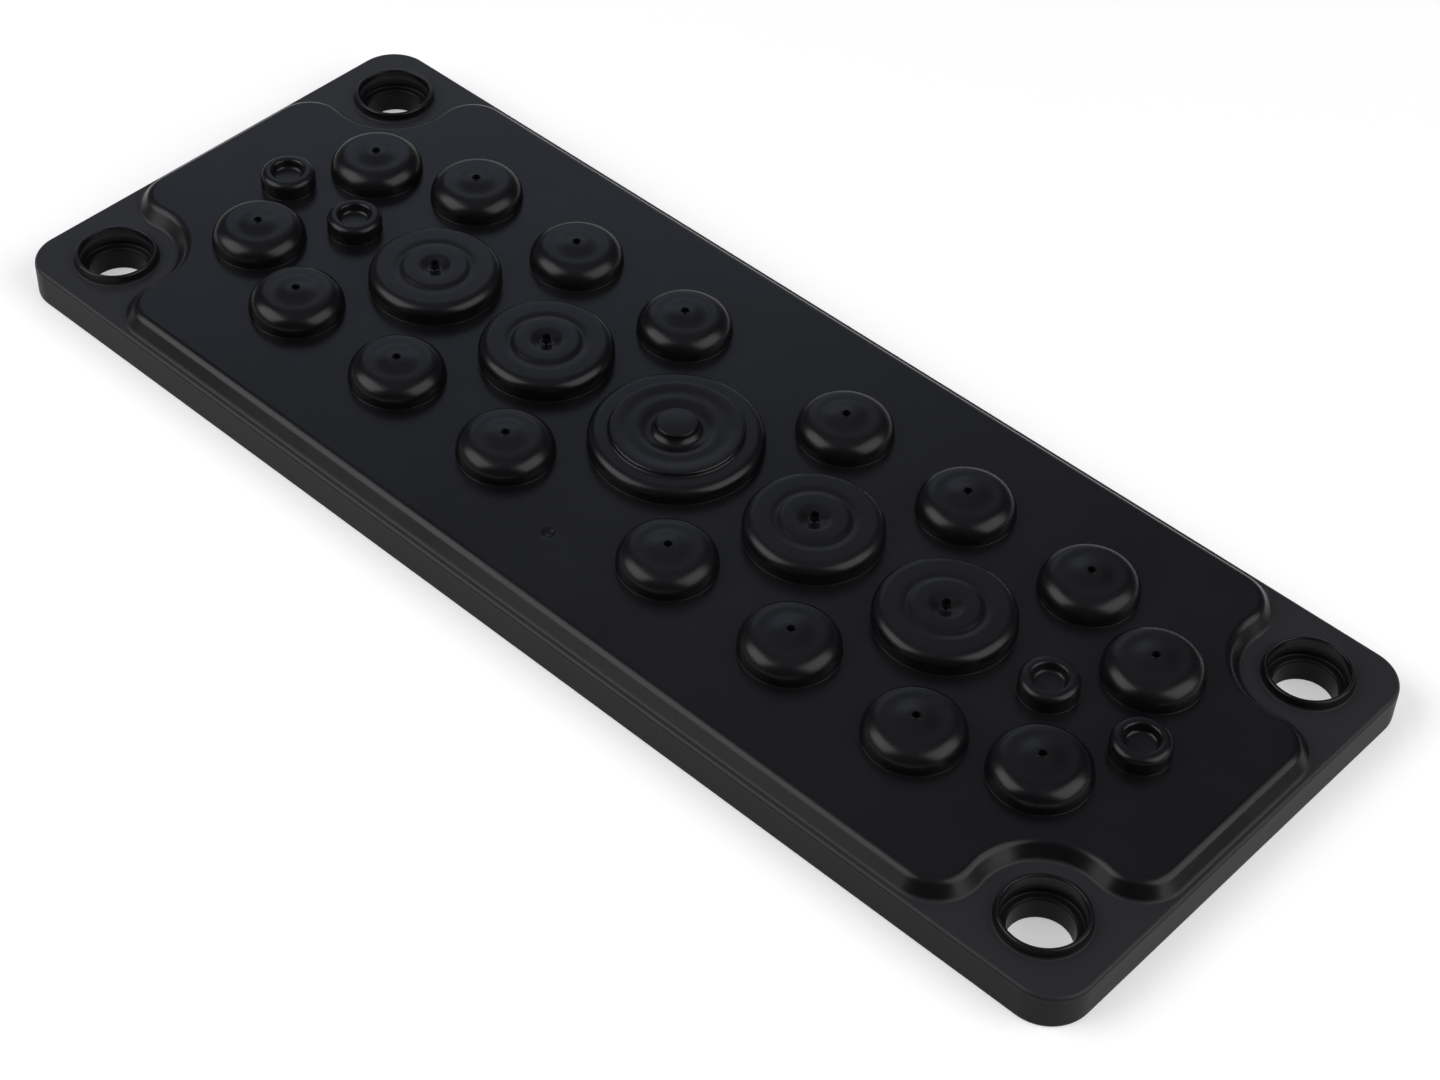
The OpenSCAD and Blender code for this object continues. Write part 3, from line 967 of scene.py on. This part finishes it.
def set_camera(scene, look):
    """Sets up the camera and makes it the scene's own."""
    data = bpy.data.cameras.new("camera")
    data.lens = look.lens
    data.sensor_width = SENSOR
    data.clip_start = NEAREST
    camera = bpy.data.objects.new("camera", data)
    turn = Matrix((CAMERA_RIGHT, CAMERA_TOP, CAMERA_RIGHT.cross(CAMERA_TOP))).transposed()
    camera.matrix_world = Matrix.Translation(CAMERA_AT) @ turn.to_4x4()
    scene.collection.objects.link(camera)
    scene.camera = camera


class ENTRYPLATE_OT_body(Operator):
    """Mould the flange, the raised field, the screw holes and the open underside"""

    bl_idname = "entry_plate.body"
    bl_label = "Plate Body"
    bl_options = {"REGISTER", "UNDO"}

    def execute(self, context):
        scene = context.scene
        finish = scene.rubber_finish
        s = millimetres(scene.plate_sizes)
        top = s.flange_h + s.field_h
        bm = bmesh.new()
        put(bm, flange_wall(s), [MIDDLE])
        put(bm, field_skin(s), [MIDDLE])
        put(bm, screw_hole(s), mirror_places([(s.hole_dx / 2, s.hole_dy / 2)]))
        put(bm, tray_skin(s), [MIDDLE])
        put(bm, gate_mark(s), [Vector((0, -s.gate_y, top))])
        open_membranes(bm, scene, s)
        for height in (0, s.tray_depth, s.flange_h, top):
            fill_level(bm, height)
        mark_skirt(bm, s)
        plate = bpy.data.objects.new(PLATE_NAME, bpy.data.meshes.new(PLATE_NAME))
        scene.collection.objects.link(plate)
        keep_plate(bm)
        skin = skin_group()
        for name, shine in (("satin_rubber", finish.shine), ("skirt_rubber", finish.skirt_shine)):
            rubber = rubber_material(name, shine, skin, finish, s.flange_h * MM)
            plate.data.materials.append(rubber)
        even = plate.modifiers.new("even_shading", "WEIGHTED_NORMAL")
        even.keep_sharp = True
        even.weight = BROAD_FACES
        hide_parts("plate")
        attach(plate, "root")
        return {"FINISHED"}


class ENTRYPLATE_OT_medium(Operator):
    """Add the sixteen domed membranes in their two rows"""

    bl_idname = "entry_plate.medium"
    bl_label = "Medium Membranes"
    bl_options = {"REGISTER", "UNDO"}

    def execute(self, context):
        add_membranes(context.scene, "medium")
        return {"FINISHED"}


class ENTRYPLATE_OT_large(Operator):
    """Add the four grooved membranes with their inner rings"""

    bl_idname = "entry_plate.large"
    bl_label = "Large Membranes"
    bl_options = {"REGISTER", "UNDO"}

    def execute(self, context):
        add_membranes(context.scene, "large")
        return {"FINISHED"}


class ENTRYPLATE_OT_centre(Operator):
    """Add the stepped membrane in the middle, with its stud"""

    bl_idname = "entry_plate.centre"
    bl_label = "Centre Membrane"
    bl_options = {"REGISTER", "UNDO"}

    def execute(self, context):
        add_membranes(context.scene, "centre")
        return {"FINISHED"}


class ENTRYPLATE_OT_small(Operator):
    """Add the four small dished membranes at the ends"""

    bl_idname = "entry_plate.small"
    bl_label = "Small Membranes"
    bl_options = {"REGISTER", "UNDO"}

    def execute(self, context):
        add_membranes(context.scene, "small")
        return {"FINISHED"}


class ENTRYPLATE_OT_studio(Operator):
    """Set up the floor, the room, the lamps and the camera"""

    bl_idname = "entry_plate.studio"
    bl_label = "Studio"
    bl_options = {"REGISTER", "UNDO"}

    def execute(self, context):
        scene = context.scene
        look = scene.studio_look
        lay_floor(scene, look)
        scene.world = studio_world()
        side_lamp("left_lamp", LEFT_LAMP, look.left_power)
        side_lamp("right_lamp", RIGHT_LAMP, look.right_power)
        side_lamp("back_lamp", BACK_LAMP, look.back_power)
        set_camera(scene, look)
        scene.view_settings.view_transform = "Standard"
        return {"FINISHED"}


class ENTRYPLATE_PT_panel(Panel):
    """Sidebar list of the plate's building steps and sizes"""

    bl_idname = "ENTRYPLATE_PT_panel"
    bl_label = "Cable Entry Plate"
    bl_space_type = "VIEW_3D"
    bl_region_type = "UI"
    bl_category = "Entry Plate"

    def draw(self, context):
        for step in STEPS:
            self.layout.operator(step.bl_idname)
        for name, group in GROUPS.items():
            box = self.layout.box()
            box.label(text=group.__doc__)
            for key in group.__annotations__:
                box.prop(getattr(context.scene, name), key)


GROUPS = {
    "plate_sizes": PlateSizes,
    "medium_sizes": MediumSizes,
    "large_sizes": LargeSizes,
    "centre_sizes": CentreSizes,
    "small_sizes": SmallSizes,
    "rubber_finish": RubberFinish,
    "studio_look": StudioLook,
}
STEPS = (
    ENTRYPLATE_OT_body,
    ENTRYPLATE_OT_medium,
    ENTRYPLATE_OT_large,
    ENTRYPLATE_OT_centre,
    ENTRYPLATE_OT_small,
    ENTRYPLATE_OT_studio,
)
CLASSES = (*GROUPS.values(), *STEPS, ENTRYPLATE_PT_panel)


def register():
    """Registers the classes and gives the scene its groups of sizes."""
    for cls in CLASSES:
        bpy.utils.register_class(cls)
    for name, group in GROUPS.items():
        setattr(bpy.types.Scene, name, PointerProperty(type=group))


def unregister():
    """Takes back what register gave, in the opposite order."""
    for name in GROUPS:
        delattr(bpy.types.Scene, name)
    for cls in reversed(CLASSES):
        bpy.utils.unregister_class(cls)


def main():
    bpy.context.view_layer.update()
    register()
    bpy.ops.entry_plate.body()
    bpy.ops.entry_plate.medium()
    bpy.ops.entry_plate.large()
    bpy.ops.entry_plate.centre()
    bpy.ops.entry_plate.small()
    bpy.ops.entry_plate.studio()


if __name__ == "__main__":
    main()
